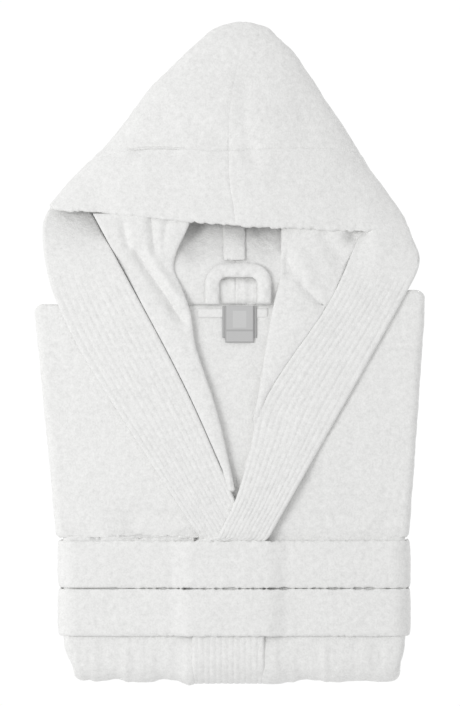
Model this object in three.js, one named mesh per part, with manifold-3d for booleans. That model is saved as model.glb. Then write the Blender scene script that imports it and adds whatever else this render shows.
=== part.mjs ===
// A hooded terry bathrobe, folded for the shelf: the sides and sleeves are turned behind, the skirt is rolled
// up under them, the sash goes twice round the bundle, and the hood lies open beyond the shoulders.
// Millimetres. +X is the viewer's right, +Y runs from the folded skirt to the hood's peak, +Z is up.
// The origin is the middle of the outline, on the surface that the robe lies on.
import * as THREE from "three";
import { mergeVertices } from "three/addons/utils/BufferGeometryUtils.js";
import Module from "manifold-3d";

// Cloth
const clothThick = 3.6; // one layer of terry
const bandThick = 5; // the quilted band: two layers, stitched down
const beltThick = 5;
const pocketThick = 5; // a patch with a turned hem
const seamGap = 0.3; // between pieces that are sewn or lie together
const layerGap = 0.5; // between two layers of one folded run
const foldAir = 1; // between two runs of the rolled skirt

// Sash
const beltWide = 50;
const beltTurnGap = 0.6; // between its two turns
const beltEndInset = { left: 45, right: 34 }; // its two ends are tucked under, this far in from the sides

// Bundle, from the top
const neckY = 50; // the neck seam, which is also the line that the hood folds on
const skirtEndY = -349; // where the skirt turns under
const skirtShows = 51.4; // of the rolled end, below the sash
const beltTopY = skirtEndY + skirtShows + 2 * beltWide + beltTurnGap;
const chestEndY = beltTopY + 47; // the bundle narrows from here down to the sash
const lowerTurnY = neckY - 22; // centre of the second turn, under the shoulders
const hemY = skirtEndY + 94;
const sideSeamX = 46; // where the folded-back sides end
const sleeveThick = 10; // both runs of a folded sleeve
const shoulderX = { left: 206, right: 205 };
const waistX = { left: 182, right: 188 }; // just above the sash
const tiedX = { left: 175, right: 184 }; // squeezed by the sash
const skirtX = { left: 162, right: 177 }; // at the rolled end
const shoulderLift = { left: 5, right: 12 }; // shoulder corners stand past the neck seam
const cornerIn = { left: 17, right: 16 }; // a raised shoulder corner starts this far in

// Front bands and lapels
const bandLeftX = -40;
const bandRightX = 36;
const crossX = 6; // where the lapels cross
const crossY = beltTopY + 44;
const flushY = chestEndY + 55; // below this the right lapel climbs onto the left one
const climbLong = 45;

// Sleeves, cuffs, pockets, loops
const sleeveX = [sideSeamX, waistX.left - 14];
const sleeveTopY = neckY - 12;
const cuffLong = 80;
const pocketX = [64, waistX.left - 16];
const pocketY = [beltTopY + 32, lowerTurnY - 23];
const beltLoop = { x: 34, wide: 9, thick: 2.4, from: skirtEndY + 43, long: 60 };

// Neck
const loopSpan = [-26, 47]; // outside of the hanging loop
const loopReach = 44; // how far it reaches into the hood
const loopBend = 15; // outside radius of its two corners
const loopWide = 13;
const loopThick = 3;
const loopRest = 0.8; // it lies loosely on the hood
const labelX = [-5, 25];
const labelLong = 39;
const labelThick = 0.9;
const careX = [-8, 28];
const careLong = 34;
const careThick = 0.5;
const tapeX = [-34, 40];
const tapeInset = 4; // from the neck seam, clear of the loop when it flips
const tapeWide = 9;
const tapeThick = 1.2;

// Hood
const peakY = neckY + 300;
const peakX = 14;
const bandReach = 68; // width of the band round the face opening
const hoodSeamX = 6; // the hood's two halves meet here at the neck
const seamTapeWide = 26;
const seamTapeY = [neckY + 47, peakY - 58];
const fallY = [neckY + 20, neckY + 150]; // the hood's lower layer comes down to the table between these
const lobeX = { left: shoulderX.left - 9, right: shoulderX.right - 8 }; // the hood at its widest

const wasm = await Module();
wasm.setup();

// ---------------------------------------------------------------- small tools

const clamp01 = (t) => Math.min(1, Math.max(0, t));
const smooth = (t) => clamp01(t) ** 2 * (3 - 2 * clamp01(t));
const lerp = (a, b, t) => a + (b - a) * t;
const steps = (n) => Array.from({ length: n + 1 }, (_, i) => i / n);

// A smooth curve through [y, x] points in rising y, read as x at any y.
function curve(...points) {
  const slope = (i) => {
    const a = points[Math.max(0, i - 1)];
    const b = points[Math.min(points.length - 1, i + 1)];
    return (b[1] - a[1]) / (b[0] - a[0]);
  };
  return (y) => {
    const last = points.length - 2;
    const i = Math.min(last, Math.max(0, points.findIndex((p) => p[0] > y) - 1));
    const k = y >= points[points.length - 1][0] ? last : i;
    const [y0, x0] = points[k];
    const [y1, x1] = points[k + 1];
    const h = y1 - y0;
    const t = clamp01((y - y0) / h);
    const bend = (1 - t) * (x0 * (1 + 2 * t) + slope(k) * h * t) * (1 - t);
    return bend + t * t * (x1 * (3 - 2 * t) + slope(k + 1) * h * (t - 1));
  };
}

// A closed body between two grids of [x, y, z] points of the same size.
function shell(face, back) {
  const rows = face.length;
  const cols = face[0].length;
  const place = [...face.flat(), ...back.flat()].flat();
  const at = (side, i, j) => side * rows * cols + i * cols + j;
  const index = [];
  const quad = (a, b, c, d) => index.push(a, b, c, a, c, d);
  for (let i = 0; i + 1 < rows; i++)
    for (let j = 0; j + 1 < cols; j++) {
      quad(at(0, i, j), at(0, i, j + 1), at(0, i + 1, j + 1), at(0, i + 1, j));
      quad(at(1, i, j), at(1, i + 1, j), at(1, i + 1, j + 1), at(1, i, j + 1));
    }
  const wall = (i, j, k, l) => quad(at(0, i, j), at(1, i, j), at(1, k, l), at(0, k, l));
  for (let j = 0; j + 1 < cols; j++) {
    wall(0, j, 0, j + 1);
    wall(rows - 1, j + 1, rows - 1, j);
  }
  for (let i = 0; i + 1 < rows; i++) {
    wall(i + 1, 0, i, 0);
    wall(i, cols - 1, i + 1, cols - 1);
  }
  const geometry = new THREE.BufferGeometry();
  geometry.setAttribute("position", new THREE.Float32BufferAttribute(place, 3));
  geometry.setIndex(index);
  if (solidOf(geometry).volume() < 0)
    for (let i = 0; i < index.length; i += 3) [index[i], index[i + 1]] = [index[i + 1], index[i]];
  geometry.setIndex(index);
  return geometry;
}

function solidOf(geometry) {
  const merged = mergeVertices(geometry, 1e-3);
  return new wasm.Manifold(
    new wasm.Mesh({
      numProp: 3,
      vertProperties: merged.attributes.position.array,
      triVerts: new Uint32Array(merged.index.array),
    }),
  );
}

function geometryOf(solid) {
  const mesh = solid.getMesh();
  const geometry = new THREE.BufferGeometry();
  const place = new THREE.Float32BufferAttribute(mesh.vertProperties, 3);
  geometry.setAttribute("position", place);
  geometry.setIndex([...mesh.triVerts]);
  return geometry;
}

const robe = new THREE.Group();
const cloth = { roughness: 0.95, metalness: 0 };
const terry = new THREE.MeshStandardMaterial({ color: "#f1f0ee", ...cloth });
const quilted = new THREE.MeshStandardMaterial({ color: "#eeedeb", ...cloth });
const twill = new THREE.MeshStandardMaterial({ color: "#e8e8e6", ...cloth });
const greyWeave = new THREE.MeshStandardMaterial({ color: "#c3c3c2", ...cloth });

function add(name, geometry, material) {
  geometry.computeVertexNormals();
  const mesh = new THREE.Mesh(geometry, material);
  mesh.name = name;
  robe.add(mesh);
}

// ---------------------------------------------------------------- the folded stack

// Four layers lie in each run, from the outside in: front, back, then both again where the sides turn back.
const layerStep = clothThick + layerGap;
const stackThick = 4 * clothThick + 3 * layerGap;
const restZ = beltThick + seamGap; // the lowest run lies this high, on the pockets and the right front band
const tiedZ = restZ + bandThick + seamGap; // and here where the sash passes under the band
const rollThick = 2 * stackThick + foldAir;
const tiedTopZ = tiedZ + rollThick + seamGap + stackThick;
const chestTopZ = restZ + rollThick + 2 * seamGap + sleeveThick + stackThick;
const endRadius = (tiedTopZ - tiedZ) / 2;
const endCentreY = skirtEndY + endRadius + bandThick + seamGap;
const endCentreZ = (tiedTopZ + tiedZ) / 2;
const innerRadius = stackThick + foldAir / 2;

const dipY = chestEndY - 18; // the underside rises onto the sash from here
const tied = (y) => smooth((chestEndY - y) / (chestEndY - beltTopY - 5));
const topZ = (y) => lerp(chestTopZ, tiedTopZ, tied(y));
const underZ = (y) => lerp(restZ, tiedZ, smooth((dipY - y) / 24));

// Stations down the robe from the shoulder to the hem: a point on the outside and the way in.
const stations = [];
const station = (run, y, z, inY, inZ) => stations.push({ run, y, z, inY, inZ });
const lastFlatY = endCentreY + 29.2; // the end turn starts to draw the sides in from here
const nipY = [13, 7, 0, -7].map((past) => beltTopY + past); // the sides nip in under the sash's edge
const chestRows = [seamGap, 10, 50, 100, 150].map((down) => neckY - down).filter((y) => y > chestEndY);
for (const y of [...chestRows, chestEndY, dipY, ...nipY, lastFlatY]) station("top", y, topZ(y), 0, -1);
for (const t of steps(8)) {
  const turn = (0.5 + t) * Math.PI;
  const [c, s] = [Math.cos(turn), Math.sin(turn)];
  station("end", endCentreY + endRadius * c, endCentreZ + endRadius * s, -c, -s);
}
const underRows = [nipY[3], beltTopY + 1, nipY[1], nipY[0], dipY - 8, dipY];
for (const y of [lastFlatY, ...underRows, -80]) station("under", y, underZ(y), 0, 1);
for (const t of steps(6)) {
  const turn = (t - 0.5) * Math.PI;
  const [c, s] = [Math.cos(turn), Math.sin(turn)];
  const centreZ = restZ + innerRadius;
  station("fold", lowerTurnY + innerRadius * c, centreZ + innerRadius * s, -c, -s);
}
for (const y of [-80, ...underRows.toReversed(), hemY])
  station("inner", y, underZ(y) + rollThick, 0, -1);

// How wide the bundle is on one side at a station.
function edgeX(side, { run, y }) {
  const open = curve([beltTopY, waistX[side]], [neckY, shoulderX[side]]);
  const inset = { top: 0, end: 0, under: 3, fold: 6, inner: 6 }[run];
  const nip = smooth((beltTopY + 7 - y) / 6);
  const end = smooth((endCentreY + 15 - y) / (endRadius + 15));
  const wide = lerp(open(Math.max(y, beltTopY)), tiedX[side], nip);
  return lerp(wide, skirtX[side], end) - inset;
}

// The point at x across and depth inside the outline at a station.
function onRoll(s, x, depth) {
  const side = x < 0 ? "left" : "right";
  const cornerX = shoulderX[side] - cornerIn[side];
  const corner = smooth((Math.abs(x) - cornerX) / 12) * smooth((s.y - lowerTurnY - 2) / 20);
  const lift = s.run === "top" ? shoulderLift[side] * corner : 0;
  return [x, s.y + s.inY * depth + lift, s.z + s.inZ * depth];
}

// Half of a layer's section, from the middle to the side, round it and back to the side seam.
function turnedBack(edge, depth, thick) {
  const middle = stackThick / 2;
  const outer = middle - depth;
  const inner = outer - thick;
  const face = [];
  const back = [];
  for (const t of steps(4)) {
    const turn = (0.5 - t) * Math.PI;
    const [c, s] = [Math.cos(turn), Math.sin(turn)];
    face.push([edge - middle + outer * c, middle - outer * s]);
    back.push([edge - middle + inner * c, middle - inner * s]);
  }
  face.push([sideSeamX, stackThick - depth]);
  back.push([sideSeamX, stackThick - depth - thick]);
  return { face, back };
}

// ---------------------------------------------------------------- lines of the neckline

// The roll line where each front turns back, the seam of its band, and the band's free edge. They are drawn
// for a neck 247 above the sash and for lobes at 197, and stretch with those sizes.
const above = (mm) => neckY + mm;
const below = (mm) => neckY - (mm * (neckY - beltTopY)) / 247;
const leftX = (x) => (-x * lobeX.left) / 197;
const rightX = (x) => (x * lobeX.right) / 197;
const rollLeft = curve(
  [crossY, crossX], [below(160), -2], [below(106), -19], [below(50), -35], [below(14), -42],
  [above(16), -57], [above(47), -60], [above(85), -45],
);
const rollRight = curve(
  [beltTopY, -15], [crossY, crossX], [below(147), 22], [below(95), 31], [below(32), 42],
  [above(24), 51], [above(85), 55],
);
const seamLeft = curve([beltTopY, 27], [crossY, crossX - 1], [above(85), leftX(142)]);
const seamRight = curve(
  [beltTopY, -15], [crossY, crossX], [below(147), 22], [below(112), 30], [below(68), 55],
  [above(5), rightX(105)], [above(85), rightX(144)],
);
const freeLeft = curve(
  [beltTopY, bandLeftX + 10], [below(58), leftX(151)], [above(9), leftX(183)], [above(46), leftX(193)],
  [above(83), leftX(197)], [above(104), leftX(190)],
);
const freeRight = curve(
  [beltTopY, bandRightX + 3], [above(24), rightX(188)], [above(61), rightX(197)], [above(85), rightX(189)],
  [above(100), rightX(176)],
);

// ---------------------------------------------------------------- back panel

{
  const face = [];
  const back = [];
  for (const s of stations) {
    const half = (side, sign) => {
      const h = turnedBack(edgeX(side, s), layerStep, clothThick);
      return {
        face: h.face.map(([x, d]) => onRoll(s, sign * x, d)),
        back: h.back.map(([x, d]) => onRoll(s, sign * x, d)),
      };
    };
    const left = half("left", -1);
    const right = half("right", 1);
    const across = [stackThick - edgeX("left", s), 0, edgeX("right", s) - stackThick];
    const middle = (depth) => across.map((x) => onRoll(s, x, depth));
    face.push([...left.face.reverse(), ...middle(layerStep), ...right.face]);
    back.push([...left.back.reverse(), ...middle(layerStep + clothThick), ...right.back]);
  }
  add("back_panel", shell(face, back), terry);
}

// ---------------------------------------------------------------- front panels

// A slab on the chest between two lines x(y), from one depth to another outside the front panel.
function chestSlab(from, to, rowsY, low, high) {
  const level = (side) =>
    rowsY.map((y) => steps(2).map((t) => [lerp(from(y), to(y), t), y, topZ(y) + side]));
  return shell(level(high), level(low));
}

for (const [side, sign] of [["left", -1], ["right", 1]]) {
  const roll = side === "left" ? rollLeft : rollRight;
  const seam = side === "left" ? seamLeft : seamRight;
  const bandX = side === "left" ? bandLeftX : bandRightX;
  const meetX = crossX + (sign * seamGap) / 2;
  const innerX = (s) => {
    if (s.run !== "top" || s.y < beltTopY + 10) return bandX + 2 * sign * seamGap;
    return s.y < crossY + 3 ? meetX : roll(s.y) + sign * seamGap;
  };
  const face = [];
  const back = [];
  for (const s of stations) {
    const edge = edgeX(side, s);
    const h = turnedBack(edge, 0, clothThick);
    const start = innerX(s);
    const across = steps(2).map((t) => lerp(start, sign * (edge - stackThick), t));
    face.push([...across.map((x) => [x, 0]), ...h.face.map(([x, d]) => [sign * x, d])]);
    back.push([...across.map((x) => [x, clothThick]), ...h.back.map(([x, d]) => [sign * x, d])]);
  }
  const placed = (grid) => grid.map((row, i) => row.map(([x, d]) => onRoll(stations[i], x, d)));
  const panel = solidOf(shell(placed(face), placed(back)));
  // Above the crossing the front turns back over itself, as far as the seam of its band.
  const lowest = side === "left" ? below(151) : below(101);
  const rowsY = chestRows.filter((y) => y > lowest).toReversed();
  const inset = (y) => seam(y) - sign * 2 * seamGap;
  const turnback = solidOf(
    chestSlab((y) => roll(y) + sign * seamGap, inset, rowsY, -1, clothThick + seamGap),
  );
  add(`front_panel_${side}`, geometryOf(panel.add(turnback)), terry);
}

// ---------------------------------------------------------------- front bands and lapels

// Each band is one strip from the hem up the front edge. Above the sash it opens into the lapel, whose
// face lies on the front panel. The right one crosses over the left.
function frontBand(side) {
  const [free, seam] = side === "left" ? [freeLeft, seamLeft] : [freeRight, seamRight];
  const over = side === "right";
  const face = [];
  const back = [];
  for (const s of stations) {
    const lapel = s.run === "top" && s.y > beltTopY + 3;
    const flush = over ? bandThick + seamGap : 0;
    const onLapel = over ? 2 * bandThick + 2 * seamGap : bandThick + seamGap;
    const climb = smooth((flushY - s.y) / climbLong);
    const outer = lapel ? lerp(bandThick + seamGap, onLapel, climb) : flush;
    const thick = lapel || over ? bandThick : clothThick;
    const a = lapel ? free(s.y) : over ? bandRightX : bandLeftX;
    const b = lapel ? seam(s.y) : over ? bandLeftX : bandRightX;
    const row = (depth) => steps(2).map((t) => onRoll(s, lerp(a, b, t), depth));
    face.push(row(-outer));
    back.push(row(-outer + thick));
  }
  add(`front_band_${side}`, shell(face, back), quilted);
}
frontBand("left");
frontBand("right");

// ---------------------------------------------------------------- sleeves, cuffs, pockets and belt loops

const sleeveZ = restZ + rollThick + seamGap;
const sleeveRun = (sleeveThick - seamGap) / 2;

// A flattened tube that runs down behind the chest, turns, and comes back up.
function foldedSleeve(sign) {
  const face = [];
  const back = [];
  const row = (x0, x1, y, z) => steps(2).map((t) => [sign * lerp(x0, x1, t), y, z]);
  const put = (y, low, high) => {
    face.push(row(...sleeveX, y, high));
    back.push(row(...sleeveX, y, low));
  };
  const turnY = chestEndY + 10;
  put(sleeveTopY, sleeveZ + sleeveRun, sleeveZ);
  put(turnY, sleeveZ + sleeveRun, sleeveZ);
  const middle = sleeveZ + sleeveThick / 2;
  for (const t of steps(5).slice(1, -1)) {
    const turn = (-0.5 - t) * Math.PI;
    const [c, s] = [Math.cos(turn), Math.sin(turn)];
    const outer = sleeveThick / 2;
    face.push(row(...sleeveX, turnY + outer * c, middle + outer * s));
    back.push(row(...sleeveX, turnY + (seamGap / 2) * c, middle + (seamGap / 2) * s));
  }
  put(turnY, sleeveZ + sleeveThick - sleeveRun, sleeveZ + sleeveThick);
  put(sleeveTopY - cuffLong - seamGap, sleeveZ + sleeveThick - sleeveRun, sleeveZ + sleeveThick);
  return shell(face, back);
}

// A plain rectangular pad.
function pad(x, y, z) {
  const geometry = new THREE.BoxGeometry(Math.abs(x[1] - x[0]), y[1] - y[0], z[1] - z[0]);
  geometry.translate((x[0] + x[1]) / 2, (y[0] + y[1]) / 2, (z[0] + z[1]) / 2);
  geometry.deleteAttribute("normal");
  geometry.deleteAttribute("uv");
  return mergeVertices(geometry);
}

for (const [side, sign] of [["left", -1], ["right", 1]]) {
  const mirrored = (x) => [sign * x[0], sign * x[1]];
  add(`sleeve_${side}`, foldedSleeve(sign), terry);
  const cuffY = [sleeveTopY - cuffLong, sleeveTopY];
  const cuffZ = [sleeveZ + sleeveThick - sleeveRun, sleeveZ + sleeveThick];
  add(`cuff_${side}`, pad(mirrored(sleeveX), cuffY, cuffZ), quilted);
  add(`pocket_${side}`, pad(mirrored(pocketX), pocketY, [0, pocketThick]), terry);
  const loopX = mirrored([beltLoop.x, beltLoop.x + beltLoop.wide]);
  const loopZ = tiedZ + 2 * layerStep;
  const loopEnds = [beltLoop.from, beltLoop.from + beltLoop.long];
  add(`belt_loop_${side}`, pad(loopX, loopEnds, [loopZ, loopZ + beltLoop.thick]), twill);
}

// ---------------------------------------------------------------- sash

// It starts under the left side, goes over the bundle, passes back underneath to its second turn, and ends
// under the right side.
{
  const humpX = [bandLeftX - 2, bandRightX + 2];
  const hump = bandThick + seamGap;
  const corner = stackThick / 2 + seamGap;
  const lowZ = tiedZ - seamGap;
  const highZ = tiedTopZ + seamGap;
  const half = (side) => tiedX[side] + seamGap;
  const turnOverX = [-90, 100]; // underneath, it shifts from the upper turn to the lower between these
  const route = []; // [x, z, way out x, way out z], once round from under the left side
  const flat = (x, z, up) => route.push([x, z, 0, up]);
  const round = (side, from, to, centreZ) => {
    const sign = side === "left" ? -1 : 1;
    for (const t of steps(4)) {
      const turn = lerp(from, to, t) * Math.PI;
      const [c, s] = [Math.cos(turn), Math.sin(turn)];
      route.push([sign * (half(side) - corner) + corner * c, centreZ + corner * s, c, s]);
    }
  };
  const over = (z, up, xs) => {
    const [a, b] = humpX;
    const bump = z + up * hump;
    const line = [[a - 8, z], [a - 1, bump], [b + 1, bump], [b + 8, z]];
    for (const [x, level] of xs > 0 ? line : line.reverse()) flat(x, level, up);
  };
  const once = () => {
    round("left", 1.5, 1, lowZ + corner);
    round("left", 1, 0.5, highZ - corner);
    over(highZ, 1, 1);
    round("right", 0.5, 0, highZ - corner);
    round("right", 0, -0.5, lowZ + corner);
  };
  flat(beltEndInset.left - tiedX.left, lowZ, -1);
  once();
  over(lowZ, -1, -1);
  once();
  flat(tiedX.right - beltEndInset.right, lowZ, -1);
  const apart = ([x, z], i) => i === 0 || Math.hypot(x - route[i - 1][0], z - route[i - 1][1]) > 0.5;
  const points = route.filter(apart);
  const middle = points.findIndex(([x, z], i) => i > 20 && z < tiedZ && x < humpX[0]);
  const crossOver = points.map((p, i) => {
    if (i >= middle) return 1;
    const under = p[1] < tiedZ && i > 12;
    return under ? smooth((turnOverX[1] - p[0]) / (turnOverX[1] - turnOverX[0])) : 0;
  });
  const face = [];
  const back = [];
  points.forEach(([x, z, outX, outZ], i) => {
    const far = beltTopY - crossOver[i] * (beltWide + beltTurnGap);
    const near = (reach) => [far, far - beltWide].map((y) => [x + outX * reach, y, z + outZ * reach]);
    face.push(near(beltThick));
    back.push(near(0));
  });
  add("belt", shell(face, back), quilted);
}

// ---------------------------------------------------------------- neck tape, hanging loop and labels

const backFaceZ = chestTopZ - layerStep; // the inside of the back panel at the neck
const tapeZ = backFaceZ + seamGap;
const tapeTopY = neckY - tapeInset;
add("neck_tape", pad(tapeX, [tapeTopY - tapeWide, tapeTopY], [tapeZ, tapeZ + tapeThick]), twill);

// Both labels hang from the neck seam, the care label underneath.
const careZ = tapeZ + tapeThick + seamGap;
const labelZ = careZ + careThick + seamGap;
const sewnY = neckY - 2 * seamGap;
add("care_label", pad(careX, [sewnY - careLong, sewnY], [careZ, careZ + careThick]), twill);
add("brand_label", pad(labelX, [sewnY - labelLong, sewnY], [labelZ, labelZ + labelThick]), greyWeave);

// ---------------------------------------------------------------- hood

const hoodY0 = neckY + seamGap;
const hoodLeft = curve(
  [above(0), -leftX(178)], [above(9), -leftX(183)], [above(46), -leftX(193)], [above(83), -leftX(197)],
  [above(104), -leftX(190)], [above(124), -leftX(168)], [above(172), -leftX(130)], [above(229), -leftX(79)],
  [above(270), -leftX(48)], [peakY, leftX(8)],
);
const hoodRight = curve(
  [above(0), rightX(180)], [above(24), rightX(189)], [above(61), rightX(197)], [above(98), rightX(178)],
  [above(150), rightX(144)], [above(216), rightX(100)], [above(270), rightX(66)], [peakY, rightX(20)],
);
const hoodTopZ = curve(
  [above(0), chestTopZ + 9.9], [above(40), chestTopZ + 8.4], [above(80), chestTopZ - 3.6],
  [above(150), 50], [above(230), 36], [peakY, 13],
);
const pastNeck = [20, 35, 50, 65, 80, 95, 110, 130, 155, 185, 215, 245, 270, 288];
const hoodRows = [hoodY0, ...pastNeck.map(above), peakY];
const ridgeX = (y) => lerp(hoodSeamX, peakX, smooth((y - 160) / 160)); // the centre seam, leaning to the peak

// The underside of the lower layer, straight from one row to the next.
function hoodUnderZ(y) {
  const fall = (at) => (backFaceZ - clothThick) * (1 - smooth((at - fallY[0]) / (fallY[1] - fallY[0])));
  const i = Math.max(0, Math.min(hoodRows.length - 2, hoodRows.findIndex((row) => row > y) - 1));
  const [a, b] = [hoodRows[i], hoodRows[i + 1]];
  return y >= peakY ? fall(peakY) : lerp(fall(a), fall(b), clamp01((y - a) / (b - a)));
}

// A closed section of the pocket at y, drawn in from its outside by inset.
function hoodSection(y, inset) {
  const ring = [];
  const low = hoodUnderZ(y) + inset;
  const high = Math.max(hoodTopZ(y) - inset, low + 1);
  const side = lerp(low, high, 0.35);
  const around = 28;
  for (let i = 0; i < around; i++) {
    const turn = (i / around) * 2 * Math.PI - Math.PI / 2;
    const [c, s] = [Math.cos(turn), Math.sin(turn)];
    const wide = c < 0 ? hoodLeft(y) + ridgeX(y) : hoodRight(y) - ridgeX(y);
    const reach = Math.sign(c) * Math.abs(c) ** 0.7 * Math.max(wide - inset, 1);
    const share = Math.abs(reach) / Math.max(wide - inset, 1);
    const crown = Math.sqrt(1 - share ** 2.6);
    const belly = Math.sqrt(1 - share ** 9);
    ring.push([ridgeX(y) + reach, y, s < 0 ? lerp(side, low, belly) : lerp(side, high, crown)]);
  }
  return ring;
}

// A closed loft through rings of the same size.
function loft(rings) {
  const n = rings[0].length;
  const place = rings.flat(2);
  const index = [];
  for (let i = 0; i + 1 < rings.length; i++)
    for (let j = 0; j < n; j++) {
      const k = (j + 1) % n;
      index.push(i * n + j, i * n + k, (i + 1) * n + k, i * n + j, (i + 1) * n + k, (i + 1) * n + j);
    }
  const cap = (row, flip) => {
    for (let j = 1; j + 1 < n; j++) {
      const tri = [row * n, row * n + j, row * n + j + 1];
      index.push(...(flip ? tri.reverse() : tri));
    }
  };
  cap(0, true);
  cap(rings.length - 1, false);
  const geometry = new THREE.BufferGeometry();
  geometry.setAttribute("position", new THREE.Float32BufferAttribute(place, 3));
  geometry.setIndex(index);
  if (solidOf(geometry).volume() < 0)
    for (let i = 0; i < index.length; i += 3) [index[i], index[i + 1]] = [index[i + 1], index[i]];
  geometry.setIndex(index);
  return solidOf(geometry);
}

// A block over an area of the plan: lines x from..to at each y, between two heights.
function block(rowsY, from, to, low, high, cols = 2) {
  const level = (z) => rowsY.map((y) => steps(cols).map((t) => {
    const x = lerp(from(y), to(y), t);
    return [x, y, z(x, y)];
  }));
  return solidOf(shell(level(high), level(low)));
}

// The rim of the face opening and the seam of its band run across the hood: y at each x.
const rimY = curve(
  [leftX(200), above(104)], [leftX(150), above(97)], [0, above(81)],
  [rightX(142), above(78)], [rightX(200), above(70)],
);
const narrowing = (x) => 1 - 0.55 * smooth((Math.abs(x) - 120) / 60); // towards the lobes
const bandSeamY = (x) => rimY(x) + bandReach * narrowing(x);

const deep = -50; // these three are clear of the hood on every side
const high = 200;
const aside = lobeX.left + 63;
const hoodOuter = loft(hoodRows.map((y) => hoodSection(y, 0)));
const hoodInner = loft([hoodY0 - 20, ...hoodRows.slice(0, -2)].map((y) => {
  const ring = hoodSection(Math.max(y, hoodY0), clothThick + (y > 300 ? 2 : 0));
  return ring.map(([x, , z]) => [x, y, z]);
}));
const pocket = hoodOuter.subtract(hoodInner);

// Everything above the hood's lower layer by raise, from the neck to a line y(x) across.
function aboveLower(line, raise, gap) {
  const over = block(hoodRows, () => -aside, () => aside, (x, y) => hoodUnderZ(y) + raise, () => high);
  const half = [60, 120, 140, 160, 180, 200, aside];
  const xs = [...half.map((x) => -x).reverse(), 0, ...half];
  const row = (x, z) => [[x, neckY - 5, z], [x, line(x) + gap, z]];
  const plan = solidOf(shell(xs.map((x) => row(x, high + 1)), xs.map((x) => row(x, deep))));
  return over.intersect(plan);
}
const lowerTop = clothThick + 0.6;
const bandZone = aboveLower(bandSeamY, lowerTop, 0);
const bandZoneIn = aboveLower(bandSeamY, lowerTop + seamGap, -seamGap);
const mouth = aboveLower(rimY, lowerTop + seamGap + bandThick, 0);

// Past the neck seam the lapels come down from the chest onto the hood's lower layer.
function lapelLift(y) {
  const onHood = hoodUnderZ(y) + lowerTop + seamGap;
  return lerp(chestTopZ + seamGap, onHood, smooth((y - neckY) / 60));
}
const lapelRows = [hoodY0, 70, 85, 100, 115, 125];

for (const [side, sign] of [["left", -1], ["right", 1]]) {
  const seam = side === "left" ? seamLeft : seamRight;
  const roll = side === "left" ? rollLeft : rollRight;
  const free = side === "left" ? freeLeft : freeRight;
  const mid = (y) => ridgeX(y) + (sign * seamGap) / 2;
  const midRows = [hoodY0 - 1, 160, 200, 240, 280, 320, peakY + 5];
  const half = block(midRows, mid, () => sign * aside, () => deep, () => high);
  const panelShell = pocket.subtract(bandZone).intersect(half);
  const flap = block(
    lapelRows,
    (y) => seam(y) - sign * 2 * seamGap,
    (y) => roll(y),
    (x, y) => hoodUnderZ(y) + 1,
    (x, y) => lapelLift(y) + clothThick,
  );
  add(`hood_panel_${side}`, geometryOf(panelShell.add(flap)), terry);
  const lapel = block(
    lapelRows,
    (y) => free(y) - sign * 2,
    seam,
    (x, y) => lapelLift(y),
    (x, y) => lapelLift(y) + bandThick,
  );
  const strip = pocket.intersect(bandZoneIn).subtract(mouth).intersect(half);
  add(`hood_band_${side}`, geometryOf(strip.add(lapel)), quilted);
}

// The pressed-open centre seam, covered by a tape on the inside of the lower layer.
{
  const [from, to] = seamTapeY;
  const rowsY = [from, ...hoodRows.filter((y) => y > from && y < to), to];
  const face = (y) => hoodUnderZ(y) + clothThick + seamGap;
  const tape = block(
    rowsY,
    (y) => ridgeX(y) - seamTapeWide / 2,
    (y) => ridgeX(y) + seamTapeWide / 2,
    (x, y) => face(y),
    (x, y) => face(y) + tapeThick,
  );
  add("hood_seam_tape", geometryOf(tape), twill);
}

// The hanging loop: a strap sewn into the neck seam at both ends, lying flat on the lower layer.
{
  const inner = loopBend - loopWide;
  const [left, right] = loopSpan;
  const far = neckY + loopReach;
  const legY = [hoodY0 + seamGap, fallY[0], far - loopBend];
  const across = legY.map((y) => [[left, y], [left + loopWide, y]]);
  const corner = (centreX, from, to) => {
    for (const t of steps(4).slice(1)) {
      const turn = lerp(from, to, t) * Math.PI;
      const [c, s] = [Math.cos(turn), Math.sin(turn)];
      const at = (r) => [centreX + r * c, far - loopBend + r * s];
      across.push([at(loopBend), at(inner)]);
    }
  };
  corner(left + loopBend, 1, 0.5);
  across.push([[right - loopBend, far], [right - loopBend, far - loopWide]]);
  corner(right - loopBend, 0.5, 0);
  for (const y of legY.slice(0, 2).reverse()) across.push([[right, y], [right - loopWide, y]]);
  const rest = (y) => hoodUnderZ(y) + clothThick + loopRest;
  const level = (up) => across.map((row) => row.map(([x, y]) => [x, y, rest(y) + up]));
  add("hanging_loop", shell(level(loopThick), level(0)), twill);
}

export default robe;
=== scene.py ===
import math

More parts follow.
